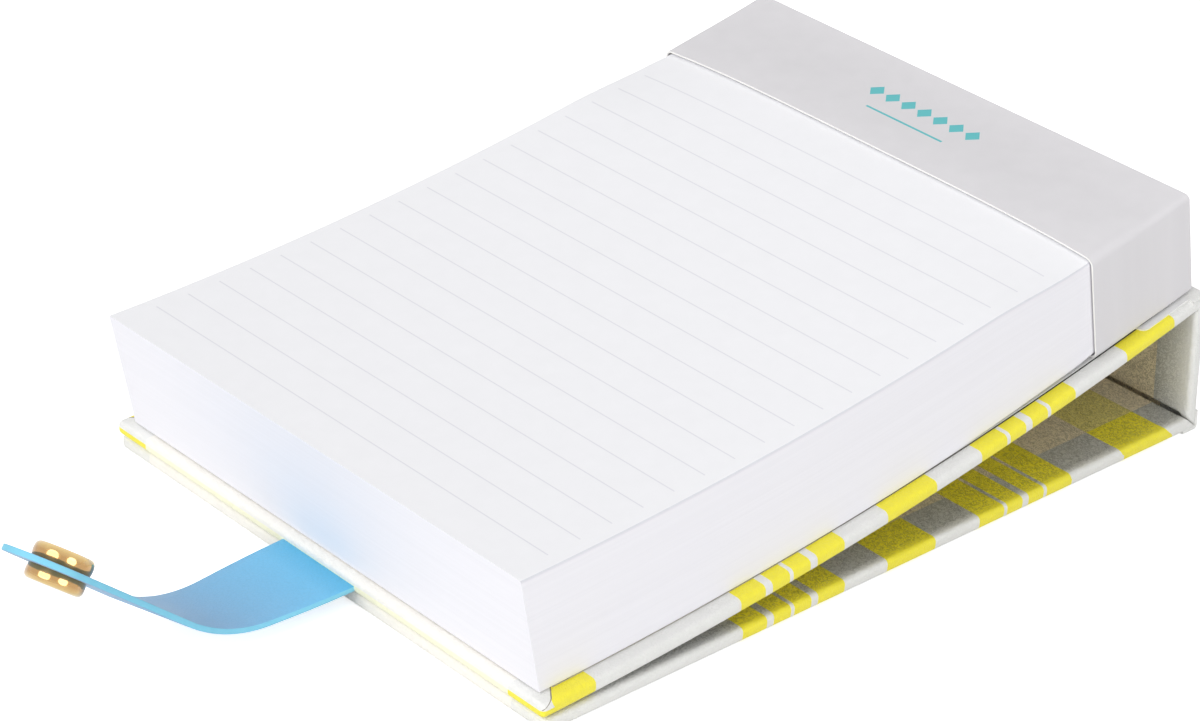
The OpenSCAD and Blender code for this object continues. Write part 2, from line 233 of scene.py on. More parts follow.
def slab(low, high, radius=0.0, ends=(), segments=4):
    """A box between two corners whose long edges, and the edges of the ends named, are rounded."""
    low, high = Vector(low), Vector(high)
    bm = bmesh.new()
    bmesh.ops.create_cube(bm, size=1)
    bmesh.ops.scale(bm, vec=high - low, verts=bm.verts)
    bmesh.ops.translate(bm, vec=(low + high) / 2, verts=bm.verts)
    if radius:
        soft = []
        for e in bm.edges:
            a, b = (v.co for v in e.verts)
            if abs(a.y - b.y) > NEAR or any(abs(a.y - end) < NEAR for end in ends):
                soft.append(e)
        bmesh.ops.bevel(bm, geom=soft, offset=radius, offset_type="OFFSET", affect="EDGES",
                        segments=segments, profile=0.5, material=-1)
    return bm


def cut(bm, axis, places):
    """Cuts a flat piece across an axis, so that it can bend there."""
    for place in places:
        at, across = Vector(), Vector()
        at[axis], across[axis] = place, 1
        everything = bm.verts[:] + bm.edges[:] + bm.faces[:]
        bmesh.ops.bisect_plane(bm, geom=everything, plane_co=at, plane_no=across)


def steps(low, high, n):
    """The n - 1 places that part a length into n."""
    return [low + (high - low) * i / n for i in range(1, n)]


def bend(bm, spot, print_at=0.0):
    """Bends a flat piece into place, keeping its flat place for the patterns on it."""
    flat = bm.verts.layers.float_vector.new("flat")
    for v in bm.verts:
        v[flat] = v.co + Vector((0, print_at, 0))
        v.co = spot(*v.co)
    bmesh.ops.recalc_face_normals(bm, faces=bm.faces)


def make_piece(bm, name, materials, smooth=40):
    """Makes a bent piece an object in metres, with edges sharper than an angle in degrees left sharp."""
    bmesh.ops.scale(bm, vec=(MM, MM, MM), verts=bm.verts)
    mesh = bpy.data.meshes.new(name)
    bm.to_mesh(mesh)
    bm.free()
    mesh.shade_smooth()
    mesh.set_sharp_from_angle(angle=math.radians(smooth))
    for m in materials:
        mesh.materials.append(m)
    piece = bpy.data.objects.new(name, mesh)
    bpy.context.collection.objects.link(piece)
    return piece


# Materials

# The sockets of a Mix node for colours: its factor and its two colours
BY, FROM, TO = 0, 6, 7


def linear(hex_code):
    """Linear colour of an sRGB hex value."""
    parts = [int(hex_code[i:i + 2], 16) / 255 for i in (1, 3, 5)]
    return tuple(c / 12.92 if c <= 0.04045 else ((c + 0.055) / 1.055) ** 2.4 for c in parts) + (1.0,)


def plug(node, inputs):
    """Sets or links a node's inputs, which are listed in the order of the sockets or given by socket.

    A node stands for the first of its outputs that is in use, and a hex value for its colour.
    """
    for socket, value in inputs.items() if isinstance(inputs, dict) else enumerate(inputs):
        if isinstance(value, bpy.types.Node):
            value = next(output for output in value.outputs if output.enabled)
        if isinstance(value, bpy.types.NodeSocket):
            node.id_data.links.new(value, node.inputs[socket])
        else:
            node.inputs[socket].default_value = linear(value) if isinstance(value, str) else value


def add(tree, kind, inputs=(), **settings):
    """Adds a node with its settings and inputs."""
    node = tree.nodes.new("ShaderNode" + kind)
    for key, value in settings.items():
        setattr(node, key, value)
    plug(node, inputs)
    return node


def surface(name, values):
    """A material, its nodes, its shader with the values that are the same all over, and the flat place."""
    m = bpy.data.materials.new(name)
    m.use_nodes = True
    tree = m.node_tree
    shader = tree.nodes["Principled BSDF"]
    plug(shader, values)
    return m, tree, shader, add(tree, "Attribute", attribute_name="flat").outputs["Vector"]


def paper_material():
    """Uncoated writing paper: matt and nearly white, ruled on top, with cut sheets showing at the sides."""
    m, tree, shader, flat = surface("uncoated_paper", {"Roughness": 0.75})
    x, d, h = add(tree, "SeparateXYZ", [flat]).outputs
    # Fibre: a faint mottle of 3 mm, coarser than real fibres, which would not show
    mottle = add(tree, "TexNoise", {"Vector": flat, "Scale": 1 / 3, "Detail": 3.0})
    face = add(tree, "Mix", {BY: mottle, FROM: "#F2F2F5", TO: "#F6F6F9"}, data_type="RGBA")
    # Cut sheets: real ones are 0.11 mm apart, drawn here as long streaks of about 0.5 mm so that they show
    stretch = add(tree, "Mapping", {"Vector": flat, "Scale": (0.012, 0.012, 1 / 0.5)})
    sheets = add(tree, "TexNoise", {"Vector": stretch, "Scale": 1.0, "Detail": 4.0, "Roughness": 0.7})
    streak = add(tree, "MapRange", [sheets, 0.35, 0.65, 0.0, 1.0])
    cut_edge = add(tree, "Mix", {BY: streak, FROM: "#F0EFF4", TO: "#F3F2F7"}, data_type="RGBA")
    top = add(tree, "Math", [h, PAGE_T - 0.05], operation="GREATER_THAN")
    paper = add(tree, "Mix", {BY: top, FROM: cut_edge, TO: face}, data_type="RGBA")
    # Rulings: 18 pale grey lines 0.25 mm wide, 6.54 mm apart, that end 2.6 mm from the sides
    count, wide, apart, margin = 18, 0.25, 6.54, 2.6
    first = BAND_L + 8.4
    half_run = (count - 1) / 2 * apart
    from_first = add(tree, "Math", [d, first], operation="SUBTRACT")
    off_line = add(tree, "Math", [from_first, apart / 2], operation="PINGPONG")
    line = add(tree, "Math", [off_line, wide / 2], operation="LESS_THAN")
    in_run = add(tree, "Math", [d, first + half_run, half_run + wide], operation="COMPARE")
    inside = add(tree, "Math", [x, 0.0, PAGE_W / 2 - margin], operation="COMPARE")
    ruled = add(tree, "Math", [line, in_run], operation="MULTIPLY")
    framed = add(tree, "Math", [ruled, inside], operation="MULTIPLY")
    on_top = add(tree, "Math", [framed, top], operation="MULTIPLY")
    inked = add(tree, "Mix", {BY: on_top, FROM: paper, TO: "#E3E3E9"}, data_type="RGBA")
    # Along the sides the top sheets stand out a little and shade those below them
    off_middle = add(tree, "Math", [x], operation="ABSOLUTE")
    side = add(tree, "Math", [off_middle, PAGE_W / 2 - 0.05], operation="GREATER_THAN")
    lip = add(tree, "MapRange", [h, PAGE_T - 0.7, PAGE_T - 0.2, 0.0, 1.0])
    shade = add(tree, "Math", [lip, side], operation="MULTIPLY")
    colour = add(tree, "Mix", {BY: shade, FROM: inked, TO: "#DCDCE3"}, data_type="RGBA")
    relief = add(tree, "Bump", {"Height": sheets, "Distance": 0.00003, "Strength": 0.1})
    plug(shader, {"Base Color": colour, "Normal": relief})
    return m


def card_material():
    """Grey-white band card: smooth and matt, with a row of small printed lozenges over a fine rule."""
    m, tree, shader, flat = surface("band_card", {"Roughness": 0.6})
    x, d, h = add(tree, "SeparateXYZ", [flat]).outputs
    # Pulp: a faint mottle of 4 mm, coarser than the real one so that it shows
    mottle = add(tree, "TexNoise", {"Vector": flat, "Scale": 1 / 4, "Detail": 4.0})
    card = add(tree, "Mix", {BY: mottle, FROM: "#D9D7DA", TO: "#E1DFE2"}, data_type="RGBA")
    # The flat band is 1 high, so this is its upper face
    top = add(tree, "Math", [h, 0.95], operation="GREATER_THAN")
    # Seven lozenges 3.2 mm wide and 3.8 mm high, 3.8 mm apart, in a row 10.7 mm from the head
    count, wide, high, apart, row = 7, 3.2, 3.8, 3.8, 10.7
    off_middle = add(tree, "Math", [x, apart / 2], operation="PINGPONG")
    aside = add(tree, "Math", [off_middle, wide / 2], operation="DIVIDE")
    from_row = add(tree, "Math", [d, row], operation="SUBTRACT")
    off_row = add(tree, "Math", [from_row], operation="ABSOLUTE")
    away = add(tree, "Math", [off_row, high / 2], operation="DIVIDE")
    lozenge = add(tree, "Math", [aside, away], operation="ADD")
    filled = add(tree, "Math", [lozenge, 1.0], operation="LESS_THAN")
    in_row = add(tree, "Math", [x, 0.0, count * apart / 2], operation="COMPARE")
    lozenges = add(tree, "Math", [filled, in_row], operation="MULTIPLY")
    # Rule 0.5 mm thick and 18 mm long, 16 mm from the head
    rule_at = add(tree, "Math", [d, 16.0, 0.5 / 2], operation="COMPARE")
    rule_in = add(tree, "Math", [x, 0.0, 18.0 / 2], operation="COMPARE")
    rule = add(tree, "Math", [rule_at, rule_in], operation="MULTIPLY")
    marks = add(tree, "Math", [lozenges, rule], operation="MAXIMUM")
    printed = add(tree, "Math", [marks, top], operation="MULTIPLY")
    colour = add(tree, "Mix", {BY: printed, FROM: card, TO: "#5FBFC4"}, data_type="RGBA")
    relief = add(tree, "Bump", {"Height": mottle, "Distance": 0.0001, "Strength": 0.3})
    plug(shader, {"Base Color": colour, "Normal": relief})
    return m


def mottled_material(name, low, high, roughness):
    """Plain paper or a cut edge: matt, with a faint mottle of 3 mm in two tones, coarse enough to show."""
    m, tree, shader, flat = surface(name, {"Roughness": roughness})
    mottle = add(tree, "TexNoise", {"Vector": flat, "Scale": 1 / 3, "Detail": 4.0})
    tone = add(tree, "Mix", {BY: mottle, FROM: low, TO: high}, data_type="RGBA")
    relief = add(tree, "Bump", {"Height": mottle, "Distance": 0.00008, "Strength": 0.4})
    plug(shader, {"Base Color": tone, "Normal": relief})
    return m


# The yellow bands across the covers, from and to in millimetres from the foot: wide ones and narrow ones
WIDE_BANDS = [(0, 10.7), (75.3, 87.3), (135, 147)]
NARROW_BANDS = [(41.6, 47.5), (48.7, 52.5), (53.7, 57.6), (58.8, 65),
                (97.8, 104), (105.2, 109.1), (110.2, 114.1), (115.3, 121.4)]
# The length that the print is drawn over, which is longer than a cover and the spine
PRINT_L = 200.0
CREAM_MARGIN = 8.0
# The print's yellow, and the dark tone of the painted shadow under the pad
YELLOW, GAP_SHADOW = "#F9ED3E", "#2C2A28"


def covering_material(name, wide_bands, pale=(0.6, 2.2)):
    """Embossed leatherette: satin, finely wrinkled, white with yellow bands across and a cream one along.

    At the sides and the foot it is painted lighter, as painted light, up to the first distance in pale, and
    plain from the second, in mm.
    """
    m, tree, shader, flat = surface(name, {"Roughness": 0.42})
    x, s, h = add(tree, "SeparateXYZ", [flat]).outputs
    share = add(tree, "Math", [s, PRINT_L], operation="DIVIDE")
    bands = []
    for places in (wide_bands, NARROW_BANDS):
        band = add(tree, "ValToRGB", [share])
        stops = band.color_ramp
        stops.interpolation = "CONSTANT"
        stops.elements.remove(stops.elements[1])
        first = 1 if places[0][0] == 0 else 0
        stops.elements[0].color = (first, first, first, 1)
        for low, high in places:
            for place, tone in ((low, 1), (high, 0)):
                if place > 0:
                    stops.elements.new(place / PRINT_L).color = (tone, tone, tone, 1)
        bands.append(band)
    # At the foot corners the covering is turned in with a mitre: where it starts at the side, how far it runs
    # along for each millimetre in, and for each down the side how far the print lags and the seam leans
    mitre_at, mitre_run, print_lag, seam_lean = 1.7, 0.82, 0.65, -1.89
    off_middle = add(tree, "Math", [x], operation="ABSOLUTE")
    inset = add(tree, "Math", [BOARD_W / 2, off_middle], operation="SUBTRACT")
    below = add(tree, "Math", [SHELL_T, h], operation="SUBTRACT")
    mitre = add(tree, "Math", [inset, mitre_run, mitre_at], operation="MULTIPLY_ADD")
    starts = add(tree, "Math", [below, print_lag, mitre], operation="MULTIPLY_ADD")
    before = add(tree, "Math", [s, starts], operation="LESS_THAN")
    upper = add(tree, "Math", [h, 1.5], operation="GREATER_THAN")
    bare = add(tree, "Math", [before, upper], operation="MULTIPLY")
    yellow = add(tree, "Math", [bands[0], bare], operation="SUBTRACT", use_clamp=True)
    # Painted light and shade: the white is painted greyer on the outer faces, as painted shade, and lighter
    # over the rounded edges and near the sides and the foot, as painted light
    over_side = add(tree, "MapRange", [h, 0.1, 0.7, 0.0, 1.0])
    near_side = add(tree, "MapRange", [inset, *pale, 1.0, 0.0])
    near_foot = add(tree, "MapRange", [s, *pale, 1.0, 0.0])
    sides = add(tree, "Math", [over_side, near_side], operation="MAXIMUM")
    edge = add(tree, "Math", [sides, near_foot], operation="MAXIMUM")
    white = add(tree, "Mix", {BY: edge, FROM: "#C2C2BD", TO: "#ECECE9"}, data_type="RGBA")
    margin = add(tree, "Mix", {BY: yellow, FROM: white, TO: YELLOW}, data_type="RGBA")
    tinted = add(tree, "Mix", {BY: yellow, FROM: "#E9DDC3", TO: "#E6DB8A"}, data_type="RGBA")
    # A paler cream: painted light near the foot, and the turn-in's own colour where the print leaves it bare
    bare_and_lit_cream = add(tree, "Mix", {BY: yellow, FROM: "#F8F5EE", TO: "#FDFBDC"}, data_type="RGBA")
    bare_and_foot_light = add(tree, "Math", [near_foot, bare], operation="MAXIMUM")
    cream = add(tree, "Mix", {BY: bare_and_foot_light, FROM: tinted, TO: bare_and_lit_cream}, data_type="RGBA")
    in_cream = add(tree, "Math", [x, 0.0, BOARD_W / 2 - CREAM_MARGIN], operation="COMPARE")
    crossed = add(tree, "Mix", {BY: in_cream, FROM: margin, TO: cream}, data_type="RGBA")
    checked = add(tree, "Mix", {BY: bands[1], FROM: crossed, TO: YELLOW}, data_type="RGBA")
    # The seam of the mitre: a dark line 0.28 mm wide, coarser than the real one so that it shows
    runs = add(tree, "Math", [below, seam_lean, mitre], operation="MULTIPLY_ADD")
    seam_at = add(tree, "Math", [s, runs, 0.28 / 2], operation="COMPARE")
    seam_up = add(tree, "Math", [h, SHELL_T - 1.0], operation="GREATER_THAN")
    seam = add(tree, "Math", [seam_at, seam_up], operation="MULTIPLY")
    mitred = add(tree, "Mix", {BY: seam, FROM: checked, TO: "#8C8678"}, data_type="RGBA")
    # Painted shadow on the inner face under the pad: a dark tone, darker towards the head, which shows as a
    # thin dark line in the gap beside the pad
    under_pad = add(tree, "Math", [x, 0.0, PAGE_W / 2 - 0.1], operation="COMPARE")
    inner = add(tree, "Math", [h, SHELL_T - 0.05], operation="GREATER_THAN")
    past_foot = add(tree, "Math", [s, 4.5], operation="GREATER_THAN")
    covered = add(tree, "Math", [under_pad, past_foot], operation="MULTIPLY")
    shade_under_pad = add(tree, "Math", [covered, inner], operation="MULTIPLY")
    to_head = add(tree, "MapRange", [s, 30.0, 110.0, 0.0, 1.0])
    gap_shadow_tone = add(tree, "Mix", {BY: to_head, FROM: "#CBC7BE", TO: GAP_SHADOW}, data_type="RGBA")
    gap_shaded = add(tree, "Mix", {BY: shade_under_pad, FROM: mitred, TO: gap_shadow_tone}, data_type="RGBA")
    # Leather grain: winding dark creases, 1.2 to the millimetre, which is coarser than real ones so that they
    # show. They are smoothed out over the edges
    swirl = add(tree, "TexNoise", {"Vector": flat, "Scale": 1.2, "Detail": 0.0, "Distortion": 1.5})
    off_mean = add(tree, "Math", [swirl, 0.5], operation="SUBTRACT")
    off_crease = add(tree, "Math", [off_mean], operation="ABSOLUTE")
    grain = add(tree, "MapRange", [off_crease, 0.0, 0.14, 0.0, 1.0])
    darkest = add(tree, "MapRange", [edge, 0.0, 1.0, 0.58, 0.97])
    crease = add(tree, "MapRange", [grain, 0.0, 1.0, darkest, 1.0])
    colour = add(tree, "Mix", {BY: 1.0, FROM: gap_shaded, TO: crease}, data_type="RGBA", blend_type="MULTIPLY")
    raised = add(tree, "MapRange", [edge, 0.0, 1.0, 0.7, 0.4])
    relief = add(tree, "Bump", {"Height": grain, "Distance": 0.00015, "Strength": raised})
    plug(shader, {"Base Color": colour, "Normal": relief})
    return m


def strap_material():
    """Blue leatherette: satin with a soft sheen, finely grained, a deeper blue where it leaves the case and
    painted paler towards the curl, as painted sheen.
    """
    m, tree, shader, flat = surface("blue_leatherette", {"Roughness": 0.4})
    s = add(tree, "SeparateXYZ", [flat]).outputs["Y"]
    # Painted sheen: the blue turns paler along the strap towards the curl
    along = add(tree, "MapRange", [s, 0.0, STRAP_RUN + STRAP_CURL_L / 2, 0.0, 1.0])
    blues_and_sheen = add(tree, "ValToRGB", [along])
    stops = blues_and_sheen.color_ramp.elements
    stops[0].color, stops[1].color = linear("#52B2DD"), linear("#82B2D9")
    stops.new(0.2).color = linear("#70BEE6")
    # Grain: creased cells, 1.6 to the millimetre, and wrinkles, 2 to the millimetre, coarse enough to show
    cells = add(tree, "TexVoronoi", {"Vector": flat, "Scale": 1.6}, feature="DISTANCE_TO_EDGE")
    wrinkle = add(tree, "TexNoise", {"Vector": flat, "Scale": 2.0, "Detail": 3.0})
    crease = add(tree, "MapRange", [cells, 0.0, 0.15, 0.0, 0.5])
    grain = add(tree, "Math", [crease, wrinkle], operation="ADD")
    wear_and_reflection = add(tree, "MapRange", [grain, 0.3, 1.0, 0.93, 1.0])
    colour = add(tree, "Mix", {BY: 1.0, FROM: blues_and_sheen, TO: wear_and_reflection}, data_type="RGBA", blend_type="MULTIPLY")
    relief = add(tree, "Bump", {"Height": grain, "Distance": 0.00008, "Strength": 0.5})
    plug(shader, {"Base Color": colour, "Normal": relief})
    return m


def brass_material():
    """Polished and lacquered brass: warm gold reflections, with the walls painted darker and the rims painted
    lighter as painted reflection.
    """
    # The lacquer reflects more than a real one, which has an IOR of 1.5, to keep the highlights pale
    lacquer = {"Coat Weight": 1.0, "Coat Roughness": 0.03, "Coat IOR": 2.0}
    m, tree, shader, flat = surface("polished_brass", {"Metallic": 1.0, **lacquer})
    h = add(tree, "SeparateXYZ", [flat]).outputs["Z"]
    # Polishing marks of 1.5 mm, coarser than real ones so that they show
    marks = add(tree, "TexNoise", {"Vector": flat, "Scale": 1 / 1.5, "Detail": 3.0})
    # Painted reflection: darker down the walls and lighter at the rims, by height off the strap, with an
    # uneven edge from the polishing marks
    off_strap = add(tree, "Math", [h], operation="ABSOLUTE")
    uneven = add(tree, "Math", [marks, 0.8, off_strap], operation="MULTIPLY_ADD")
    wear_and_reflection = add(tree, "MapRange", [uneven, 2.2, 3.3, 0.0, 1.0])
    tone = add(tree, "Mix", {BY: wear_and_reflection, FROM: "#BE8C38", TO: "#E8C678"}, data_type="RGBA")
    polish = add(tree, "MapRange", [marks, 0.3, 0.7, 0.1, 0.18])
    plug(shader, {"Base Color": tone, "Roughness": polish})
    return m


PAPER = paper_material()
CARD = card_material()
CARD_EDGE = mottled_material("cut_card_edge", "#F0EFEC", "#F8F7F4", 0.8)
LINING = mottled_material("lining_paper", "#E4E4E3", "#EEEEED", 0.7)
# Paper painted dark as painted shadow, for the lining under the pad
SHADOWED_PAPER = mottled_material("paper_painted_shadow", GAP_SHADOW, "#35322F", 0.8)
COVERING = covering_material("printed_leatherette", WIDE_BANDS)
# The photograph shows no band at the foot of the front cover
FRONT_COVERING = covering_material("printed_leatherette_front", WIDE_BANDS[1:])
# The spine's white margins are painted lighter over their whole width, as painted light
SPINE_COVERING = covering_material("printed_leatherette_spine", WIDE_BANDS, (1.5, CREAM_MARGIN + 0.5))
LEATHERETTE = strap_material()
STRAP_EDGE = mottled_material("cut_leatherette_edge", "#76C4E0", "#86D0E9", 0.6)
BRASS = brass_material()


# Pieces


def make_pages():
    """The stack of sheets, its cut edges a little uneven."""
    half = PAGE_W / 2
    bm = slab((-half, 0, 0), (half, PAGE_L, PAGE_T))
    near_side = [half - r for r in EDGE_CUTS]
    cut(bm, ACROSS, near_side + [-x for x in near_side] + steps(2 - half, half - 2, 24))
    past_band = [BAND_L + d for d in (0, 1, 2, 4, 6.5, 10)]
    cut(bm, ALONG, steps(0, BAND_L, 6) + past_band + steps(past_band[-1], PAGE_L, 36))
    cut(bm, UP, EDGE_CUTS + [PAGE_T - r for r in EDGE_CUTS] + steps(2, PAGE_T - 2, 40))
    # The cut sides and foot are rough by this much, in long waves that change from sheet to sheet
    side_rough, foot_rough, side_wave, foot_wave = 0.02, 0.03, 60, 50

    def spot(x, d, h):
        across, up = pad_section(x, d, h / PAGE_T, 0)
        inner = ramp(h / 2) * ramp((PAGE_T - h) / 2)
        if abs(x) > half - 0.01:
            loose = ramp((d - BAND_L) / BAND_L)
            wave = noise.noise(Vector((x, d / side_wave, h * 1.9)))
            across += math.copysign(side_rough, x) * loose * inner * wave
        if d > PAGE_L - 0.01:
            d += foot_rough * inner * noise.noise(Vector((x / foot_wave, 7.0, h * 1.7)))
        return on_pad(across, d, up)
    bend(bm, spot)
    pages = make_piece(bm, "pages", [PAPER])
    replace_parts(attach(pages, "back_cover"), "page_block")


def make_band():
    """The card band round the head of the pad, with white cut edges. Flat, it is a tube 1 high."""
    half = PAGE_W / 2
    cuts = EDGE_CUTS + [2.3]
    bm = slab((-half, 0, 0), (half, BAND_L, 1))
    cut(bm, ACROSS, [side * (half - r) for r in cuts for side in (-1, 1)] + steps(2.5 - half, half - 2.5, 24))
    rises = [r / PAGE_T for r in cuts]
    cut(bm, UP, rises + [1 - r for r in rises] + steps(rises[-1], 1 - rises[-1], 8))
    cut(bm, ALONG, steps(0, BAND_L, 12))
    ends = [f for f in bm.faces if abs(f.normal.y) > 0.9]
    bmesh.ops.delete(bm, geom=ends, context="FACES")

    def spot(x, d, t):
        across, up = pad_section(x, d, t, PAPER_FIT + BAND_T)
        return on_pad(across, d, up)
    bend(bm, spot)
    outside = set(bm.faces)
    bmesh.ops.solidify(bm, geom=bm.faces[:], thickness=BAND_T + PAPER_FIT)
    bmesh.ops.recalc_face_normals(bm, faces=bm.faces)
    along = Vector((0, *aim(HEAD_SLOPE)))
    for f in bm.faces:
        if f not in outside and abs(f.normal.dot(along)) > 0.8:
            f.material_index = 1
    band = make_piece(bm, "head_sleeve", [CARD, CARD_EDGE])
    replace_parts(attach(band, "back_cover"), "head_band")


def with_lugs(spot, ends):
    """Lets the turned-in covering fill the joint at a board's sides, up to the mitre where boards meet."""
    def lugged(x, s, h):
        side = ramp((abs(x) - BOARD_W / 2 + LUG_W + LUG_EASE) / LUG_EASE)
        room = JOINT_GAP - max(LUG_MITRE * (AXIS_H - h), h - AXIS_H) - PAPER_FIT
        for end, way in ends:
            if abs(s - end) < EDGE_R + NEAR:
                s += way * side * max(room, 0)
        return spot(x, s, h)
    return lugged


def make_boards():
    """The three covered boards: rounded slabs, the back one bent along its bow."""
    half = BOARD_W / 2
    for side, spot, length, joints, body, print_at, covering in (
            ("back", on_back, COVER_L, ((COVER_L, 1),), "back_cover", 0, COVERING),
            ("front", on_front, COVER_L, ((COVER_L, 1),), "front_cover", 0, FRONT_COVERING),
            ("spine", on_spine, SPINE_L, ((0, -1), (SPINE_L, 1)), "spine", COVER_L, SPINE_COVERING)):
        bm = slab((-half, 0, 0), (half, length, SHELL_T), EDGE_R, (0, length))
        cut(bm, ALONG, steps(0, length, 40 if side == "back" else 4))
        cut(bm, ACROSS, [way * (half - LUG_W - LUG_EASE * i / 4) for i in range(5) for way in (-1, 1)])
        bend(bm, with_lugs(spot, joints), print_at)
        board = make_piece(bm, side + "_case", [covering])
        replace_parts(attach(board, body), side + "_covering", side + "_board")


def out_of_pad(x, s, h):
    """Bends the back lining: narrower than the pad, then rounding out to show beside it at the head."""
    under, out = PAGE_W / 2 - 0.4, PAGE_W / 2 + STRIP_OUT
    start = clamp((s - STRIP_AT) / STRIP_R)
    return on_back(x * (under + (out - under) * math.sqrt(1 - (1 - start) ** 2)) / (LINING_W / 2), s, h)


def make_linings():
    """Paper over the inner faces, set in from the boards' edges. Under the pad it is painted dark, as painted
    shadow.
    """
    half, joint_margin = LINING_W / 2, 0.4
    for side, spot, length, body, foot in (
            ("back", out_of_pad, COVER_L, "back_cover", LINING_MARGIN),
            ("front", on_front, COVER_L, "front_cover", LINING_MARGIN),
            ("spine", on_spine, SPINE_L, "spine", joint_margin)):
        bm = slab((-half, foot, SHELL_T), (half, length - joint_margin, COVER_T))
        cut(bm, ALONG, steps(foot, length, 40 if side == "back" else 4))
        if side == "back":
            cut(bm, ALONG, [STRIP_AT + STRIP_R * i / 6 for i in range(7)])
            hidden = half * (PAGE_W / 2 - 0.1) / (PAGE_W / 2 + STRIP_OUT)
            cut(bm, ACROSS, (-hidden, hidden))
            # Faces under the pad take the painted shadow
            for f in bm.faces:
                if abs(f.calc_center_median().x) < hidden:
                    f.material_index = 1
        bend(bm, spot)
        paper = make_piece(bm, side + "_paper", [LINING, SHADOWED_PAPER])
        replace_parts(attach(paper, body), side + "_lining")


def make_folds():
    """The two strips of covering and lining that bend between the boards and the spine."""
    half = BOARD_W / 2
    reach = JOINT_GAP + FOLD_TUCK
    for name, axis, start, end, bodies, node in (
            ("top_fold", TOP_AXIS, HEAD_SLOPE + QUARTER, SPINE_LEAN, ("back_cover", "spine"), "back_joint"),
            ("base_fold", LOW_AXIS, SPINE_LEAN, -QUARTER, ("spine", "front_cover"), "front_joint")):
        bm = slab((-half, -reach, 0.05), (half, FOLD_L + reach, FOLD_DEPTH), 0.25, (), 3)
        cut(bm, ALONG, [-1.0, 0] + steps(0, FOLD_L, 12) + [FOLD_L, FOLD_L + 1.0])
        cut(bm, ACROSS, (-LINING_W / 2, LINING_W / 2))
        for f in bm.faces:
            if f.normal.z > 0.9 and abs(f.calc_center_median().x) < LINING_W / 2:
                f.material_index = 1
        spot = round_fold(axis, start, end)
        bend(bm, spot, COVER_L + reach)
        fold = make_piece(bm, name, [COVERING, LINING])
        begin, finish = (spot(0, u, FOLD_DEPTH) * MM for u in (0, FOLD_L))
        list(bodies)
        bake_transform(fold)
        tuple(begin)
        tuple(finish)
        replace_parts(fold, node)


def make_strap():
    """The closing strap, with paler cut edges, a taper and a round tip."""
    half, tip_r = STRAP_W / 2, STRAP_TIP_W / 2
    last = STRAP_LENGTH + STRAP_TIP - TIP_TRIM
    round_at = last - tip_r
    taper_at = STRAP_RUN + STRAP_CURL_L
    bm = slab((-half, -STRAP_TONGUE, -STRAP_T / 2), (half, last, STRAP_T / 2), 0.18, (last,), 2)
    tip_cuts = [round_at + tip_r * math.sin(math.radians(a)) for a in range(0, 85, 8)]
    cut(bm, ALONG, steps(-STRAP_TONGUE, 0, 4) + [0] + steps(0, STRAP_RUN, 4) + [STRAP_RUN]
        + steps(STRAP_RUN, taper_at, 16) + [taper_at] + tip_cuts)
    cut(bm, ACROSS, steps(-half, half, 8))
    for f in bm.faces:
        if abs(f.normal.z) < 0.5:
            f.material_index = 1

    def spot(x, length, h):
        wide = half - (half - tip_r) * clamp((length - taper_at) / (round_at - taper_at))
        over = clamp((length - round_at) / tip_r, 0, 0.995)
        return on_strap(x / half * wide * math.sqrt(1 - over * over), length, h)
    bend(bm, spot)
    strap = make_piece(bm, "closing_strap", [LEATHERETTE, STRAP_EDGE])
    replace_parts(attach(strap, "back_cover"), "strap")


def turned_part(name, profile, spot, body, node):
    """A brass part spun from its half section of (radius, height) points."""
    bm = bmesh.new()
    points = [bm.verts.new((r, 0, z)) for r, z in profile]
    edges = [bm.edges.new(pair) for pair in zip(points, points[1:])]
    bmesh.ops.spin(bm, geom=points + edges, cent=(0, 0, 0), axis=(0, 0, 1), angle=2 * math.pi,
                   steps=64, use_merge=True)
    bmesh.ops.remove_doubles(bm, verts=bm.verts, dist=1e-4)
    bend(bm, spot)
    part = make_piece(bm, name, [BRASS], smooth=50)
    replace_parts(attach(part, body), node)


def drum_wall(radius, base, height, up):
    """Points of a drum's wall from the strap to its flat end: a gentle barrel's arc, then a rolled rim's."""
    barrel, rolled, waist = 3.6, 0.7 * RIM_R, 0.45 * height
    meet = math.asin((height - waist - rolled) / (barrel - rolled))
    start = -math.asin(waist / barrel)
    rim_at = radius - barrel + (barrel - rolled) * math.cos(meet)
    points = []
    for across, along, r, low, high in ((radius - barrel, waist, barrel, start, meet),
                                        (rim_at, height - rolled, rolled, meet, QUARTER)):
        angles = [low + (high - low) * i / 8 for i in range(1 if points else 0, 9)]
        points += [(across + r * math.cos(a), base + up * (along + r * math.sin(a))) for a in angles]
    return points


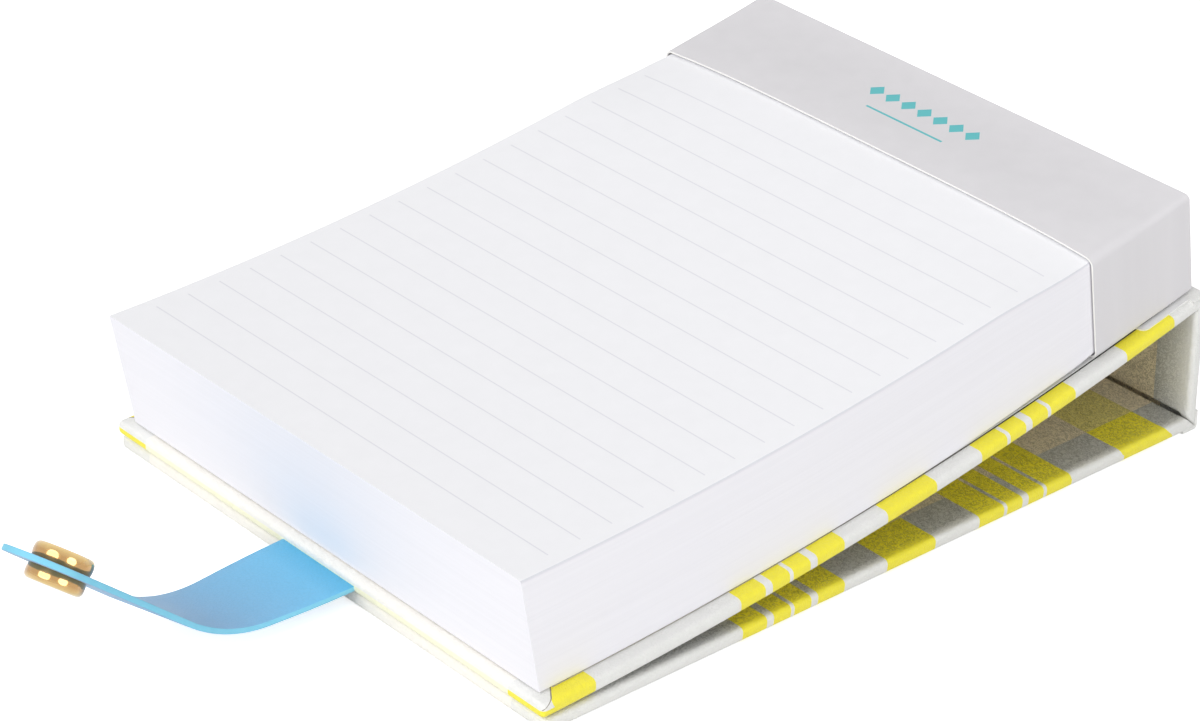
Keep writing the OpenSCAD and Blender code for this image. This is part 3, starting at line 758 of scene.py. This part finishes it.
def make_snap():
    """The brass snap: socket and cap on the strap, and the stud on the front cover."""
    def on_snap(x, y, z):
        return on_strap(x, STRAP_LENGTH - y, z)

    def on_stud(x, y, z):
        return on_front(x, STUD_FROM_FOOT + y, -z)
    base = STRAP_T / 2
    stud_r, neck = STUD_D / 2, STUD_D / 2 - 0.2
    bore, bore_floor, face = stud_r + 0.2, base + 0.9, base + SOCKET_H
    socket = [(0, base)] + drum_wall(SOCKET_D / 2, base, SOCKET_H, 1)
    socket += [(bore + 0.5, face), (bore, face - 0.4), (bore, bore_floor), (0, bore_floor)]
    cap = [(0, -base)] + drum_wall(CAP_D / 2, -base, CAP_H, -1) + [(0, -base - CAP_H)]
    stud = [(0, 0), (STUD_FLANGE_D / 2, 0), (STUD_FLANGE_D / 2 - 0.25, STUD_FLANGE_T), (neck, STUD_FLANGE_T)]
    stud += [(neck, 1.1), (stud_r, STUD_H - 0.2), (stud_r - 0.2, STUD_H), (0, STUD_H)]
    turned_part("socket_drum", socket, on_snap, "back_cover", "snap_socket")
    turned_part("cap_button", cap, on_snap, "back_cover", "snap_cap")
    turned_part("stud_post", stud, on_stud, "front_cover", "snap_stud")


make_pages()
make_band()
make_boards()
make_linings()
make_folds()
make_strap()
make_snap()


# Studio

# Soft boxes: place and width in metres, and watts
SOFT_BOXES = {"front_box": ((0.05, -1.08, 0.745), 1.05, 6.9), "right_box": ((1.17, -0.2, 0.42), 0.8, 4.9)}
LIT_SPOT = Vector((0, 0, 0.02))
# The floor's own white, and what is added to it where the camera sees it and where metal mirrors it
FLOOR_TONE, FLOOR_IN_VIEW, FLOOR_IN_METAL = 0.86, 0.65, 0.2
# The light of the surroundings to the left and in front, and to the right and behind
LIGHT_LEFT, LIGHT_RIGHT = 0.74, 0.28
# The photograph's view: place in metres, lens in millimetres on a 36 mm sensor, and angles
CAMERA_PLACE, CAMERA_LENS, SENSOR_W = (0.383647, -0.402091, 0.321196), 111.05, 36
AZIMUTH, ELEVATION, ROLL = (math.radians(a) for a in (44.92, 28.87, 4.37))


def white_where_seen(tree, light, in_view, in_metal):
    """A level of light on the object, and others where the camera looks and where metal or glass does."""
    path = add(tree, "LightPath").outputs
    mirrored = add(tree, "Math", [path["Is Glossy Ray"], path["Is Transmission Ray"]], operation="MAXIMUM")
    unseen = add(tree, "MapRange", [mirrored, 0.0, 1.0, light, in_metal])
    return add(tree, "MapRange", [path["Is Camera Ray"], 0.0, 1.0, unseen, in_view])


def make_floor():
    """A pale matt floor that the camera sees as white, and that keeps the object's shadow."""
    m = bpy.data.materials.new("studio_floor")
    m.use_nodes = True
    tree = m.node_tree
    tree.nodes.clear()
    matt = add(tree, "BsdfDiffuse", {"Color": (FLOOR_TONE, FLOOR_TONE, FLOOR_TONE, 1)})
    level = white_where_seen(tree, 0.0, FLOOR_IN_VIEW, FLOOR_IN_METAL)
    glow = add(tree, "Emission", {"Color": (1, 1, 1, 1), "Strength": level})
    both = add(tree, "AddShader", [matt, glow])
    add(tree, "OutputMaterial", [both])
    bm = bmesh.new()
    bmesh.ops.create_grid(bm, x_segments=1, y_segments=1, size=4.0)
    mesh = bpy.data.meshes.new("floor")
    bm.to_mesh(mesh)
    bm.free()
    mesh.materials.append(m)
    floor = bpy.data.objects.new("floor", mesh)
    floor.location.z = -0.0001
    bpy.context.collection.objects.link(floor)


def make_world():
    """Pale surroundings, darker to the right and behind, which the camera sees as white."""
    world = bpy.data.worlds.new("studio")
    bpy.context.scene.world = world
    world.use_nodes = True
    tree = world.node_tree
    way = add(tree, "TexCoord").outputs["Generated"]
    x, y = add(tree, "SeparateXYZ", [way]).outputs[:2]
    right = add(tree, "Math", [x, y], operation="ADD")
    light = add(tree, "MapRange", [right, -0.1, 1.2, LIGHT_LEFT, LIGHT_RIGHT])
    level = white_where_seen(tree, light, 1.0, 1.0)
    plug(tree.nodes["Background"], {"Color": (1, 1, 1, 1), "Strength": level})


def make_lamps():
    """Round soft boxes that point at the middle of the pad."""
    for name, (place, width, power) in SOFT_BOXES.items():
        data = bpy.data.lights.new(name, "AREA")
        data.shape = "DISK"
        data.size = width
        data.energy = power
        lamp = bpy.data.objects.new(name, data)
        lamp.location = place
        lamp.rotation_euler = (LIT_SPOT - Vector(place)).to_track_quat("-Z", "Y").to_euler()
        bpy.context.collection.objects.link(lamp)


def make_camera():
    """The photograph's view: a long lens, from the right of the foot."""
    data = bpy.data.cameras.new("camera")
    data.sensor_width = SENSOR_W
    data.lens = CAMERA_LENS
    camera = bpy.data.objects.new("camera", data)
    turn = Matrix.Rotation(AZIMUTH, 4, "Z") @ Matrix.Rotation(QUARTER - ELEVATION, 4, "X")
    camera.matrix_world = Matrix.Translation(CAMERA_PLACE) @ turn @ Matrix.Rotation(ROLL, 4, "Z")
    bpy.context.collection.objects.link(camera)
    bpy.context.scene.camera = camera


make_floor()
make_world()
make_lamps()
make_camera()
bpy.context.scene.view_settings.view_transform = "Standard"
